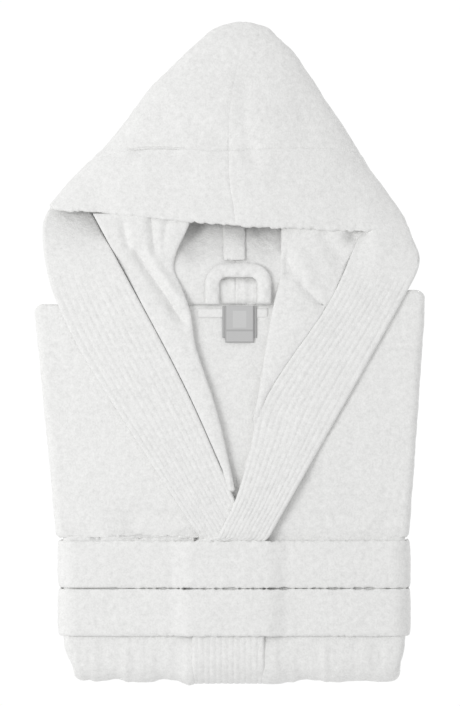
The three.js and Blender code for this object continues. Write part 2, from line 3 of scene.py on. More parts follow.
import bpy
import numpy as np
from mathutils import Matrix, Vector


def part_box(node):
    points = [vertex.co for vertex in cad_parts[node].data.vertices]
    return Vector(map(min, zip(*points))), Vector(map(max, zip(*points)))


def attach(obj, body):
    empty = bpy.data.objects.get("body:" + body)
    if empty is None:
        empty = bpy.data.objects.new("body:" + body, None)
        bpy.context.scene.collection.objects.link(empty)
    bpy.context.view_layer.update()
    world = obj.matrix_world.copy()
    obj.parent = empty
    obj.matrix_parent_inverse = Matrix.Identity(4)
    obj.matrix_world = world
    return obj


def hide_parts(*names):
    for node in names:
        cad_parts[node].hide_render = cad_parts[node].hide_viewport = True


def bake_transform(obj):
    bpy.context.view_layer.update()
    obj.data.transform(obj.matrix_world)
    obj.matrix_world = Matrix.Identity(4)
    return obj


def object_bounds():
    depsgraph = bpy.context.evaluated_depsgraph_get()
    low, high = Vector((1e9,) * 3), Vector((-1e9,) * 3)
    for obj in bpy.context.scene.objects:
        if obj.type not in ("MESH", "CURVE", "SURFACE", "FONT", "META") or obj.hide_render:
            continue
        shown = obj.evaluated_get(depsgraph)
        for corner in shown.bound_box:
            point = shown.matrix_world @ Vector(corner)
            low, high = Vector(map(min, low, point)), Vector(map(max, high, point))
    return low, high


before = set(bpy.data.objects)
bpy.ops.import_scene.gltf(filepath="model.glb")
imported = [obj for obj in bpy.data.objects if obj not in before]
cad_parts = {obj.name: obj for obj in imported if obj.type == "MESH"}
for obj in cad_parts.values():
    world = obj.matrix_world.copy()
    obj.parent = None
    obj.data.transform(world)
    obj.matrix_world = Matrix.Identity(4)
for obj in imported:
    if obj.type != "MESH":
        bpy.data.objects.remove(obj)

cad_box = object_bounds()

# ---------------------------------------------------------------- view and studio
# The robe lies flat on white paper and is seen from straight above through a long lens. A large soft light
# stands at its upper left, and an even white surround fills the shadows.

VIEW_TALL = 0.741  # metres across the frame's long side, at the robe's level
VIEW_CENTRE_Y = -0.0005
CAMERA_UP = 5.0
FILM = 36
ROBE_LEVEL = 0.75  # where that width is measured, as a share of the bundle's height
SURROUND = 0.7
KEY_PLACE = (-1.3, 0.2, 1.8)
KEY_SIZE = 0.9
KEY_WATTS = 17
PAPER_SIZE = 8
PAPER_Z = -0.0005
PAPER_GLOW = 1.02

lens = bpy.data.cameras.new("view")
lens.sensor_fit = "AUTO"
lens.sensor_width = FILM
lens.lens = FILM * (CAMERA_UP - cad_box[1].z * ROBE_LEVEL) / VIEW_TALL
camera = bpy.data.objects.new("view", lens)
camera.location = (0, VIEW_CENTRE_Y, CAMERA_UP)
bpy.context.scene.collection.objects.link(camera)
bpy.context.scene.camera = camera
bpy.context.scene.view_settings.view_transform = "Standard"

world = bpy.data.worlds.new("white_surround")
bpy.context.scene.world = world
world.use_nodes = True
world.node_tree.nodes["Background"].inputs["Color"].default_value = (1, 1, 1, 1)
world.node_tree.nodes["Background"].inputs["Strength"].default_value = SURROUND

softbox = bpy.data.lights.new("key_softbox", "AREA")
softbox.shape = "SQUARE"
softbox.size = KEY_SIZE
softbox.energy = KEY_WATTS
key = bpy.data.objects.new("key_softbox", softbox)
key.location = KEY_PLACE
key.rotation_euler = (-key.location.normalized()).to_track_quat("-Z", "Y").to_euler()
bpy.context.scene.collection.objects.link(key)


def linear(colour):
    """An sRGB hex colour as linear RGBA."""
    parts = [int(colour[i:i + 2], 16) / 255 for i in (1, 3, 5)]
    return [c / 12.92 if c <= 0.04045 else ((c + 0.055) / 1.055) ** 2.4 for c in parts] + [1]


def node(material, kind, inputs=None, links=None, **settings):
    """Adds a shader node with its settings, its input values, and links given as input: (node, output)."""
    made = material.node_tree.nodes.new(kind)
    for name, value in settings.items():
        setattr(made, name, value)
    for name, value in (inputs or {}).items():
        made.inputs[name].default_value = value
    for name, (source, output) in (links or {}).items():
        material.node_tree.links.new(source.outputs[output], made.inputs[name])
    return made


def new_material(name):
    """An empty node material."""
    material = bpy.data.materials.new(name)
    material.use_nodes = True
    material.node_tree.nodes.clear()
    return material


# White background paper, lit so evenly that it shows no shadow and no grain.
paper = new_material("white_paper_sweep")
glow = node(paper, "ShaderNodeEmission", {"Color": linear("#ffffff"), "Strength": PAPER_GLOW})
node(paper, "ShaderNodeOutputMaterial", links={"Surface": (glow, "Emission")})
bpy.ops.mesh.primitive_plane_add(size=PAPER_SIZE, location=(0, 0, PAPER_Z))
sweep = bpy.context.object
sweep.name = "white_sweep"
sweep.data.materials.append(paper)

# ---------------------------------------------------------------- front panels
# The two fronts are single layers of lofty cotton terry. Each is turned back at the side over the back
# panel, and the skirt is rolled up underneath, so one sheet runs over the chest, round the rolled end and
# back inside.

MM = 0.001
SIDES = ((-1, "left"), (1, "right"))
TERRY_THICK = 3.6
LAYER_STEP = 4.1  # from one layer of the bundle to the next
BAND_THICK = 5.0
AIR = 0.3  # between pieces that lie on each other
FRONT_STEP = 2.0  # between the points of a surface where it shows
HIDDEN_STEP = 9.0  # and where it doesn't


def box(name):
    """A CAD node's lowest and highest corners in millimetres."""
    return [np.array(corner) * 1000 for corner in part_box(name)]


_, back_high = box("back_panel")
belt_low, belt_high = box("belt")
left_low, _ = box("front_panel_left")
_, right_high = box("front_panel_right")
hood_low, hood_high = box("hood_panel_left")
band_low, _ = box("front_band_right")

NECK_Y = hood_low[1] - AIR
PEAK_Y = hood_high[1]
SKIRT_END_Y = band_low[1]
BELT_TOP_Y = belt_high[1]
BELT_LOW_Y = belt_low[1]
CHEST_END_Y = BELT_TOP_Y + 47  # the chest is level above this and drawn down to the sash below it
CROSS_X = 6  # where the left front goes in under the right one
CROSS_Y = BELT_TOP_Y + 44
STACK = 4 * TERRY_THICK + 1.5  # one run of the bundle: front and back, and both again where a side turns in
ROLL = 2 * STACK + 1  # from the underside of the bundle to its innermost run
CHEST_Z = back_high[2] + LAYER_STEP
REST_Z = left_low[2]
TIED_Z = REST_Z + BAND_THICK + AIR  # the bundle's underside where the sash goes round it
TIED_TOP_Z = TIED_Z + ROLL + AIR + STACK
END_R = (TIED_TOP_Z - TIED_Z) / 2  # the rolled end is a half round
END_Y = SKIRT_END_Y + END_R + BAND_THICK + AIR
END_Z = (TIED_TOP_Z + TIED_Z) / 2
INNER_R = STACK + 0.5  # the skirt's second turn, back inside the bundle near the neck
TURN_Y = NECK_Y - 22
HEM_Y = SKIRT_END_Y + 94
SIDE_SEAM_X = 46
END_FOLDS_Y = SKIRT_END_Y + 19  # the rolled end's deep folds run out here
END_SAG_Y = SKIRT_END_Y + 27  # and its loose cloth bulges outwards below this
RUN_INSET = {"top": 0, "end": 0, "under": 3, "fold": 6, "inner": 6}  # how far in from the side a run ends
EDGE = {  # half-widths of the bundle from the neck down, and how far its shoulder slopes up
    -1: {"shoulder": -left_low[0], "waist": 182, "tied": 175, "skirt": 162, "lift": 1},
    1: {"shoulder": right_high[0], "waist": 188, "tied": 184, "skirt": 177, "lift": 16},
}


def smooth(t):
    """A soft step from 0 to 1 as t goes from 0 to 1."""
    t = np.clip(t, 0, 1)
    return t * t * (3 - 2 * t)


def lerp(a, b, t):
    """From a to b as t goes from 0 to 1."""
    return a + (b - a) * t


def hill(off, wide):
    """A bell shape: 1 where off is 0, and about a third where it is wide."""
    return np.exp(-(off / wide) ** 2)


def curve(*points):
    """A smooth curve through (y, x) points in rising y, read as x at any y."""
    ys, xs = np.array(points, float).T
    slope = np.empty(len(ys))
    slope[1:-1] = (xs[2:] - xs[:-2]) / (ys[2:] - ys[:-2])
    slope[0] = (xs[1] - xs[0]) / (ys[1] - ys[0])
    slope[-1] = (xs[-1] - xs[-2]) / (ys[-1] - ys[-2])

    def at(y):
        k = np.clip(np.searchsorted(ys, y, side="right") - 1, 0, len(ys) - 2)
        h = ys[k + 1] - ys[k]
        t = np.clip((y - ys[k]) / h, 0, 1)
        leaving = (1 - t) ** 2 * (xs[k] * (1 + 2 * t) + slope[k] * h * t)
        return leaving + t * t * (xs[k + 1] * (3 - 2 * t) + slope[k + 1] * h * (t - 1))

    return at


LATTICE = 32
lattice = np.random.default_rng(11).random((LATTICE, LATTICE, LATTICE)) * 2 - 1


def grain(points, size):
    """Smooth random height from -1 to 1 at points in mm, with features about size across."""
    place = np.asarray(points, float) / size + 7.3
    cell = np.floor(place).astype(int)
    f = smooth(place - cell)
    total = 0
    for a in (0, 1):
        for b in (0, 1):
            for c in (0, 1):
                weight = abs(1 - a - f[..., 0]) * abs(1 - b - f[..., 1]) * abs(1 - c - f[..., 2])
                x, y, z = ((cell[..., k] + step) % LATTICE for k, step in enumerate((a, b, c)))
                total = total + weight * lattice[x, y, z]
    return total


def pile(points):
    """The tufts of the terry and the slight unevenness of a washed cloth, in mm."""
    return 0.34 * grain(points, 4.2) + 0.22 * grain(points + 31, 8) + 0.3 * grain(points + 77, 21)


def spaced(total, step):
    """Places from 0 to total, about step apart, closer at both ends for the rounded edge."""
    ends = np.array([0.35, 1.1, 2.2])
    inner = np.linspace(0, total, max(3, int(round(total / step)) + 1))
    inner = inner[inner > ends[-1] + 0.4]
    ends = ends[ends < total / 4]
    return np.unique(np.round(np.concatenate([[0], ends, inner, total - ends, [total]]), 4))


def normals(grid):
    """The unit normal at each point of a surface (rows x cols x 3)."""
    n = np.cross(np.gradient(grid, axis=1), np.gradient(grid, axis=0))
    return n / np.maximum(np.linalg.norm(n, axis=2, keepdims=True), 1e-9)


def edge_distance(grid):
    """How far each point of a surface (rows x cols x 3) lies from its nearest edge."""
    rows, cols, _ = grid.shape
    across = np.cumsum(np.linalg.norm(np.diff(grid, axis=1), axis=2), axis=1)
    across = np.concatenate([np.zeros((rows, 1)), across], axis=1)
    along = np.cumsum(np.linalg.norm(np.diff(grid, axis=0), axis=2), axis=0)
    along = np.concatenate([np.zeros((1, cols)), along], axis=0)
    from_ends = np.minimum(along, along[-1:] - along)
    from_sides = np.minimum(across, across[:, -1:] - across)
    return np.minimum(from_ends, from_sides)


EDGE_REACH = 0.55  # how far in an edge is rounded, as a share of the thickness
EDGE_LEAST = 0.06  # the thickness at the very edge, as a share
EDGE_RELIEF = 0.35  # how much of the outer face's relief is left there


def shell(grid, thick, relief=0, rough=1.0, side=1, edge=None):
    """A closed sheet round a middle surface (rows x cols x 3, mm): rounded edges, terry pile on both faces,
    and relief in mm on the outer face, which is the one that side points to. Returns its points and quads."""
    rows, cols, _ = grid.shape
    n = normals(grid) * side
    near = np.clip(edge_distance(grid) / (edge or thick * EDGE_REACH), 0, 1)
    rounded = np.sqrt(np.clip(1 - (1 - near) ** 2, 0, 1))
    half = thick / 2 * np.maximum(rounded, EDGE_LEAST)
    outer = grid + n * half[..., None]
    inner = grid - n * half[..., None]
    outer = outer + n * ((pile(outer) * rough + relief) * np.minimum(1, EDGE_RELIEF + rounded))[..., None]
    inner = inner - n * (pile(inner) * rough * rounded)[..., None]
    points = np.concatenate([outer.reshape(-1, 3), inner.reshape(-1, 3)])
    index = np.arange(rows * cols).reshape(rows, cols)
    faces = np.stack([index[:-1, :-1], index[:-1, 1:], index[1:, 1:], index[1:, :-1]], axis=-1).reshape(-1, 4)
    rim = np.concatenate([index[0, :], index[1:, -1], index[-1, -2::-1], index[-2:0:-1, 0]])
    after = np.roll(rim, -1)
    wall = np.stack([after, rim, rim + rows * cols, after + rows * cols], axis=-1)
    quads = np.concatenate([faces, faces[:, ::-1] + rows * cols, wall])
    # The quads face outwards if the volume inside them comes out positive.
    volume = 0
    for i, j in ((1, 2), (2, 3)):
        p, q, r = (points[quads[:, k]] - points.mean(0) for k in (0, i, j))
        volume += np.einsum("ij,ij->i", p, np.cross(q, r)).sum()
    return points, quads if volume > 0 else quads[:, ::-1]


def cloth(name, material, *shells):
    """One smooth-shaded piece from closed shells in mm."""
    points = np.concatenate([p for p, _ in shells])
    first = np.cumsum([0] + [len(p) for p, _ in shells])
    quads = np.concatenate([q + k for (_, q), k in zip(shells, first)]).astype(np.int32)
    data = bpy.data.meshes.new(name)
    data.vertices.add(len(points))
    data.vertices.foreach_set("co", (points * MM).astype(np.float32).ravel())
    data.loops.add(quads.size)
    data.loops.foreach_set("vertex_index", quads.ravel())
    data.polygons.add(len(quads))
    data.polygons.foreach_set("loop_start", np.arange(0, quads.size, 4, dtype=np.int32))
    data.polygons.foreach_set("use_smooth", np.ones(len(quads), bool))
    data.update(calc_edges=True)
    made = bpy.data.objects.new(name, data)
    made.data.materials.append(material)
    bpy.context.scene.collection.objects.link(made)
    return made


def belongs(piece, body, nodes):
    """The piece rides on its body, and the CAD nodes it stands for are hidden. A piece that spans two bodies
    is given no body here."""
    if body:
        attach(piece, body)
    if nodes:
        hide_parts(*nodes)


def edge_x(side, run, y):
    """How wide the bundle is on one side at y, on one of its runs."""
    wide = EDGE[side]
    share = (np.maximum(y, BELT_TOP_Y) - BELT_TOP_Y) / (NECK_Y - BELT_TOP_Y)
    at = lerp(wide["waist"], wide["shoulder"], share)
    at = lerp(at, wide["tied"], smooth((BELT_TOP_Y + 7 - y) / 6))
    end = smooth((END_Y + 15 - y) / (END_R + 15))
    return lerp(at, wide["skirt"], end) - RUN_INSET[run]


def chest_z(y):
    """The top of the chest: level, then drawn down to the sash with a soft bulge above it."""
    drawn = smooth((CHEST_END_Y - y) / (CHEST_END_Y - BELT_TOP_Y - 5))
    return lerp(CHEST_Z, TIED_TOP_Z, drawn) + 1.6 * hill(y - BELT_TOP_Y - 13, 7)


def under_z(y):
    """The underside of the bundle: on the table at the chest, lifted by the sash's thickness at the waist."""
    return lerp(REST_Z, TIED_Z, smooth((CHEST_END_Y - 18 - y) / 24))


def roll_path(fine, coarse):
    """The outside of the bundle from the neck to the hem: run, y, z and the way in (y, z). Its rows are fine
    apart where the bundle shows and coarse where it doesn't."""
    rows = []
    for y in np.linspace(NECK_Y - AIR, END_Y, int((NECK_Y - END_Y) / fine)):
        rows.append(("top", y, float(chest_z(y)), 0, -1))
    for t in np.linspace(0.5, 1.5, int(math.pi * END_R / fine))[1:-1]:
        c, s = math.cos(t * math.pi), math.sin(t * math.pi)
        rows.append(("end", END_Y + END_R * c, END_Z + END_R * s, -c, -s))
    for y in np.linspace(END_Y, TURN_Y, int((TURN_Y - END_Y) / coarse)):
        rows.append(("under", y, float(under_z(y)), 0, 1))
    for t in np.linspace(-0.5, 0.5, 12)[1:-1]:
        c, s = math.cos(t * math.pi), math.sin(t * math.pi)
        rows.append(("fold", TURN_Y + INNER_R * c, REST_Z + INNER_R + INNER_R * s, -c, -s))
    for y in np.linspace(TURN_Y, HEM_Y, int((TURN_Y - HEM_Y) / coarse)):
        rows.append(("inner", y, float(under_z(y)) + ROLL, 0, -1))
    return rows


def swell(x, y):
    """The bundle isn't quite level: a slow rise and fall that all its layers share."""
    flat = np.stack([x, y, np.zeros_like(x)], axis=-1)
    return 1.0 * grain(flat, 85) + 0.5 * grain(flat + 50, 40)


def shoulder_lift(x):
    """How far the shoulder slopes up past the neck at x, before its corner rounds off."""
    left = x < 0
    out = np.abs(x) - np.where(left, EDGE[-1]["shoulder"], EDGE[1]["shoulder"])
    lift = np.where(left, EDGE[-1]["lift"], EDGE[1]["lift"]) * smooth((out + 45) / 28)
    corner = 11
    return lift - corner * (1 - np.sqrt(1 - np.clip((out + corner) / corner, 0, 1) ** 2))


def on_roll(rows, across, shoulders=0):
    """A grid from path rows and, for each row, (x, depth inside the outline) pairs. With shoulders it also
    follows their slope."""
    grid = np.empty((len(rows), across[0].shape[0], 3))
    for r, (run, y, z, in_y, in_z) in enumerate(rows):
        x, depth = across[r][:, 0], across[r][:, 1]
        lift = shoulder_lift(x) * smooth((y - TURN_Y - 2) / 20) * (run == "top") * shoulders
        if run == "top" and y < CHEST_END_Y:
            # On the left the chest fills out as far as the sash's edge.
            full = (1 - smooth((x + 135) / 40)) * smooth((y - BELT_TOP_Y + 2) / 2)
            z = z + full * max(CHEST_Z + 0.8 * float(smooth((CHEST_END_Y - y) / 30)) - z, 0)
        grid[r] = np.stack([x, y + in_y * depth + lift, z + in_z * depth], axis=-1)
        if run in ("top", "end"):
            grid[r, :, 2] += swell(x, np.full_like(x, y)) * (1 - smooth((END_Y + 60 - y) / 60))
    return grid


def turned_side(side, run, y, start, depth, fine, coarse):
    """One layer's line from x = start out to the side, round it and back to the side seam."""
    middle = edge_x(side, run, y) - STACK / 2
    radius = STACK / 2 - depth
    flat = spaced(abs(side * middle - start), fine)
    out = np.stack([start + side * flat, np.full_like(flat, depth)], axis=-1)
    turn = np.linspace(0.5, -0.5, max(5, int(math.pi * radius / fine)))[1:] * math.pi
    arc = np.stack([side * (middle + radius * np.cos(turn)), STACK / 2 - radius * np.sin(turn)], axis=-1)
    home = np.linspace(middle, SIDE_SEAM_X, int((middle + STACK / 2 - SIDE_SEAM_X) / coarse))[1:]
    home = np.stack([side * home, np.full_like(home, STACK - depth)], axis=-1)
    return np.concatenate([out, arc, home])


def even_lines(lines):
    """Lines of (x, depth) again, each with as many points as the longest, spaced as that one is."""
    along = [np.concatenate([[0], np.cumsum(np.linalg.norm(np.diff(k, axis=0), axis=1))]) for k in lines]
    most = max(range(len(lines)), key=lambda k: len(lines[k]))
    share = along[most] / along[most][-1]
    pairs = zip(lines, along)
    return [np.stack([np.interp(share * a[-1], a, k[:, i]) for i in (0, 1)], axis=-1) for k, a in pairs]


# Terry is undyed cotton yarn woven into small uncut loops: matt and white. The loops gather in tufts about
# three loops across, and the pile of a washed cloth has slow blotches. Shade between the loops and tufts is
# painted into the colour, from the shade colour where the pile lies low to the full white where it stands
# high, and the blotches shift that tone at random.
def terry_material(name, base, shade, loop_mm, depth_mm):
    material = new_material(name)
    tuft_mm = loop_mm * 3.2
    blotch_mm = 38
    loop_height = 0.55  # of a loop against a tuft
    blotch_tone = 0.15
    lit_above = 0.62  # the height at which the yarn has its full colour
    place = node(material, "ShaderNodeTexCoord")
    here = {"Vector": (place, "Object")}
    loops = node(material, "ShaderNodeTexVoronoi", {"Scale": 1000 / loop_mm, "Randomness": 1.0}, here,
                 feature="SMOOTH_F1")
    tufts = node(material, "ShaderNodeTexNoise", {"Scale": 1000 / tuft_mm, "Detail": 4.0, "Roughness": 0.6},
                 here)
    blotch = node(material, "ShaderNodeTexNoise", {"Scale": 1000 / blotch_mm, "Detail": 2.0}, here)
    round_loops = node(material, "ShaderNodeMath", {1: loop_height}, {0: (loops, "Distance")},
                       operation="MULTIPLY")
    height = node(material, "ShaderNodeMath", {}, {0: (tufts, "Fac"), 1: (round_loops, "Value")},
                  operation="SUBTRACT")
    tone = node(material, "ShaderNodeMath", {1: blotch_tone}, {0: (blotch, "Fac")}, operation="MULTIPLY")
    mixed = node(material, "ShaderNodeMath", {}, {0: (height, "Value"), 1: (tone, "Value")}, operation="ADD")
    # Painted shade: low pile takes the shade colour, and pile above lit_above the full white.
    ramp = node(material, "ShaderNodeValToRGB", {}, {"Fac": (mixed, "Value")})
    ramp.color_ramp.elements[0].position = 0.0
    ramp.color_ramp.elements[0].color = linear(shade)
    ramp.color_ramp.elements[1].position = lit_above
    ramp.color_ramp.elements[1].color = linear(base)
    bump = node(material, "ShaderNodeBump", {"Strength": 0.7, "Distance": depth_mm * MM},
                {"Height": (height, "Value")})
    yarn = node(material, "ShaderNodeBsdfPrincipled",
                {"Roughness": 0.96, "Specular IOR Level": 0.15, "Sheen Weight": 0.18, "Sheen Roughness": 0.6},
                {"Base Color": (ramp, "Color"), "Normal": (bump, "Normal")})
    node(material, "ShaderNodeOutputMaterial", links={"Surface": (yarn, "BSDF")})
    return material


WHITE = "#f3f3f2"
# The painted shade low between the loops.
WHITE_SHADE = "#e2e2e1"
terry = terry_material("white_cotton_terry", WHITE, WHITE_SHADE, 1.7, 0.7)

# The line where each front turns back on itself above the crossing, as (y, x) in mm.
roll_line = {
    -1: curve((CROSS_Y, CROSS_X), (-110, -2), (-54, -16), (7, -36), (40, -41), (64, -49), (93, -59),
              (136, -42)),
    1: curve((BELT_TOP_Y, -15), (CROSS_Y, CROSS_X), (-97, 22), (-29, 32), (20, 40), (52, 46), (78, 52),
             (135, 54)),
}
BAND_LEFT_X = -40  # the right front's band, from the sash down
BAND_RIGHT_X = 36
# Deep folds of the rolled end: place across, half-width and depth.
END_FOLDS = ((-150, 9, 2.4), (-118, 10, 2.6), (-70, 7, 2.6), (80, 9, 2.6), (96, 6, 1.6), (140, 9, 1.4))


def front_start(side, run, y):
    """Where a front begins next to its band."""
    if run == "top" and y > CROSS_Y:
        return float(roll_line[side](y)) + side * 1.5
    if run == "top" and y > BELT_TOP_Y + 4:
        return CROSS_X + side * 0.5
    return (BAND_LEFT_X if side < 0 else BAND_RIGHT_X) - side * 3.0


def puckers(side, grid):
    """How the sash draws the rolled end in: narrow ridges, deep folds, and cloth pushed up by the band."""
    x, y = grid[..., 0], grid[..., 1]
    below = smooth((BELT_LOW_Y + 4 - y) / 25)
    drawn = np.stack([x, y * 0.12, 0 * x], axis=-1)
    relief = below * (1.5 * grain(drawn, 13) + 1.0 * grain(drawn + 9, 6.5))
    at_end = smooth((END_FOLDS_Y - y) / 14) * (1 - smooth((END_Z - 8 - grid[..., 2]) / 10))
    for at, wide, deep in END_FOLDS:
        relief = relief - at_end * deep * hill(x - at, wide)
    off_band = np.abs(x) - (BAND_RIGHT_X if side > 0 else -BAND_LEFT_X)
    return relief + below * 3.0 * hill(off_band, 16) + 3.0 * smooth((END_SAG_Y - y) / 18)


for side, word in SIDES:
    rows = roll_path(FRONT_STEP, HIDDEN_STEP)
    lines = []
    for run, y, *_ in rows:
        start = front_start(side, run, y)
        lines.append(turned_side(side, run, y, start, TERRY_THICK / 2, FRONT_STEP, HIDDEN_STEP))
    grid = on_roll(rows, even_lines(lines), shoulders=1)
    front = cloth(f"front_{word}", terry, shell(grid, TERRY_THICK, puckers(side, grid), side=-side))
    belongs(front, "robe", [f"front_panel_{word}"])

# ---------------------------------------------------------------- back panel
# One layer of the same terry between the side seams, inside the fronts wherever the bundle is folded. Its
# inside shows in the opening of the neck.

BACK_STEP = 3.0
BACK_DEPTH = LAYER_STEP + TERRY_THICK / 2

rows = roll_path(BACK_STEP, HIDDEN_STEP)
halves = []
for side, word in SIDES:
    lines = [turned_side(side, run, y, 0, BACK_DEPTH, BACK_STEP, HIDDEN_STEP) for run, y, *_ in rows]
    halves.append(even_lines(lines))
across = [np.concatenate([left[:0:-1], right]) for left, right in zip(*halves)]
back = cloth("back", terry, shell(on_roll(rows, across, shoulders=1), TERRY_THICK, side=-1))
belongs(back, "robe", ["back_panel"])

# ---------------------------------------------------------------- front bands and lapels
# A doubled strip of terry, stitched through in rows along its length, edges both fronts. Above the sash it
# opens into a shawl lapel, which is sewn on up the side of the hood as far as the hood's own band.

STITCH_ROWS = 11
BAND_MARGIN = 0.09  # share of the width along the free edge that has no stitching
LAPEL_TOP_Y = 166
LAPEL_STEP = 1.8
HOOD_STEP = 1.6

# The lapel's seam and its free edge, as (y, x) in mm.
seam_line = {
    -1: curve((BELT_TOP_Y, 27), (CROSS_Y, 5), (-31, -50), (135, -139), (170, -158)),
    1: curve((BELT_TOP_Y, -15), (CROSS_Y, CROSS_X), (-97, 22), (-62, 30), (-18, 55), (55, 105), (128, 138),
             (170, 158)),
}
free_line = {
    -1: curve((BELT_TOP_Y, -30), (-8, -151), (59, -184), (96, -194), (133, -197.5), (148, -193), (170, -176)),
    1: curve((BELT_TOP_Y, 39), (74, 191), (98, 199), (120, 192), (140, 182), (170, 156)),
}


def under_hood(y):
    """The underside of the hood's lower layer: level with the back at the neck, on the table further up."""
    return (CHEST_Z - LAYER_STEP - TERRY_THICK) * (1 - smooth((y - NECK_Y - 20) / 130))


def lapel_rest(y):
    """What the lapels lie on past the neck seam."""
    return lerp(CHEST_Z, under_hood(y) + 2, smooth((y - NECK_Y) / 88))


def hood_rows(fine, top_y, level):
    """Rows past the neck seam, from top_y down to it, resting on level(y)."""
    return [("top", y, float(level(y)), 0, -1) for y in np.arange(top_y, NECK_Y, -fine)]


HALF = {  # the hood's half-width from its centre seam, against the root of the distance below the peak
    -1: curve((0, 0), (1.8, 18), (2.7, 28), (4.5, 45), (6.6, 68), (8, 84), (10.3, 109), (12.2, 147),
              (13.8, 187), (14.5, 203), (15.3, 204), (15.9, 200), (16.6, 195), (17.4, 184)),
    1: curve((0, 0), (1.8, 17), (2.7, 28), (4.5, 41), (6.6, 65), (8, 84), (10.3, 118), (12.2, 144),
             (13.8, 168), (14.5, 179), (15.3, 186), (15.9, 191), (16.6, 183), (17.4, 172)),
}
PEAK_TIP_Y = PEAK_Y + 0.4
# How high the hood lies off the table along its centre seam, as (y, z) in mm.
hood_crown = curve((50, 74.5), (90, 73), (130, 61), (200, 50), (280, 36), (350, 13))


def ridge_x(y):
    """The hood's centre seam, which leans a little to the right towards the peak."""
    return lerp(6, -1, smooth((y - 130) / 60)) + 15 * smooth((y - 240) / 110)


def hood_point(side, share, y, tuck=False):
    """A point of the upper layer's middle surface at a share of the half-width, or of its fold underneath."""
    depth = np.sqrt(np.maximum(PEAK_TIP_Y - y, 0))
    wide = np.maximum(HALF[side](depth) - TERRY_THICK / 2, 0.5)
    low = under_hood(y) + TERRY_THICK / 2
    high = low + (hood_crown(y) - TERRY_THICK - low + 1) * np.minimum(1, depth / 4.5) ** 0.6
    # The fold at the side lies a third of the way up. The top is crowned, and the underside nearly flat.
    fold = lerp(low, high, 0.35)
    s = np.clip(share, 0, 1)
    z = lerp(fold, low, np.sqrt(1 - s ** 9)) if tuck else lerp(fold, high, np.sqrt(1 - s ** 2.6))
    lap = 1.5 * (1 - smooth(s / 0.05))
    return np.stack([ridge_x(y) + side * (s * wide - lap), y, z], axis=-1)


def stitched(share, along, depth=0.45):
    """Channels along a band: sunk rows of stitches with soft ribs between them."""
    row = (share - BAND_MARGIN) / (1 - BAND_MARGIN) * STITCH_ROWS
    sunk = hill(np.abs(row - np.round(row)), 0.13) * (row > -0.3) * (0.8 + 0.35 * along)
    return 0.35 * (0.5 - sunk) - depth * sunk


# The bands are the same cotton terry, sewn down flat, so their loops look smaller and shallower.
quilted = terry_material("stitched_terry_band", WHITE, WHITE_SHADE, 1.5, 0.6)

for side, word in SIDES:
    over = side > 0  # the right band lies over the left one
    path = hood_rows(HOOD_STEP, LAPEL_TOP_Y, lapel_rest) + roll_path(LAPEL_STEP, HIDDEN_STEP)
    # Below the sash the bands are straight strips, one on the other. Above it they open out into lapels, and
    # the right one climbs over the left one at the crossing.
    strip_free, strip_seam = (BAND_RIGHT_X, BAND_LEFT_X) if over else (BAND_LEFT_X + 4, BAND_RIGHT_X - 4)
    lines = []
    for run, y, *_ in path:
        lapel = float(smooth((y - BELT_TOP_Y + 3) / 8)) if run == "top" else 0.0
        climb = float(smooth((CHEST_END_Y + 55 - y) / 45)) * over
        raised = lerp(BAND_THICK + AIR if over else 0, lerp(1, 2, climb) * (BAND_THICK + AIR), lapel)
        free = lerp(strip_free, float(free_line[side](y)), lapel)
        seam = lerp(strip_seam, float(seam_line[side](y)), lapel)
        thick = lerp(BAND_THICK if over else TERRY_THICK, BAND_THICK, lapel)
        share = spaced(abs(seam - free), 1.3) / abs(seam - free)
        lines.append(np.stack([lerp(free, seam, share), np.full_like(share, thick / 2 - raised)], axis=-1))
    grid = on_roll(path, even_lines(lines))
    share = np.abs(grid[..., 0] - grid[:, :1, 0]) / np.abs(grid[:, -1:, 0] - grid[:, :1, 0])
    relief = stitched(share, grain(grid, 5)) * (1 - smooth((grid[..., 1] - 62) / 35))
    thick = np.full(share.shape, BAND_THICK)
    if over:
        # Past the neck the right band rolls up on to the hood and runs out into it.
        x, y = grid[..., 0], grid[..., 1]
        wide = HALF[1](np.sqrt(np.maximum(PEAK_TIP_Y - y, 0))) - 1
        on_hood = hood_point(1, np.clip((x - ridge_x(y)) / wide, 0, 1), y)[..., 2] + 0.8
        grid[..., 2] = lerp(grid[..., 2], on_hood, smooth((x - 132) / 22) * smooth((y - 72) / 45))
        thick = thick * (1 - 0.95 * smooth((y - 125) / 38))
    band = cloth(f"lapel_{word}", quilted, shell(grid, thick, relief, rough=0.8, side=side, edge=3.5))
    belongs(band, None, [f"front_band_{word}"])
    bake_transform(band)

# ---------------------------------------------------------------- facings
# Inside each lapel the front, and above it the side of the hood, turns back on itself in a soft roll, so
# that the inside of the terry shows as far as the band's seam.

FACING_TOP_Y = 146
FACING_THICK = 4.8
# Creases of each facing: start, end, half-width, and depth, which is negative for a ridge.
FACING_CREASES = {
    -1: [((-97, 104), (-52, 36), 6, 6.5), ((-83, 142), (-79, 106), 5, 4), ((-80, 92), (-49, 50), 5, -2.6),
         ((-112, 134), (-107, 112), 5, 3.5), ((-66, 140), (-70, 112), 5, 2.5)],
    1: [((60, 98), (62, 86), 7, 6), ((75, 71), (98, 48), 5, 3.5), ((76, 94), (84, 80), 7, -2.4),
        ((100, 120), (116, 100), 9, 2.5), ((134, 134), (129, 122), 8, 9)],
}


def facing_rest(y):
    """What the facings lie on from the neck up."""
    return lerp(CHEST_Z, 48, smooth((y - NECK_Y + 10) / 95))


def dent(points, start, end, wide, deep):
    """A soft valley along a line between two (x, y) places."""
    a, b = np.array(start, float), np.array(end, float)
    p = points[..., :2] - a
    t = np.clip((p @ (b - a)) / max((b - a) @ (b - a), 1e-9), 0, 1)
    return -deep * hill(np.linalg.norm(p - t[..., None] * (b - a), axis=-1), wide)


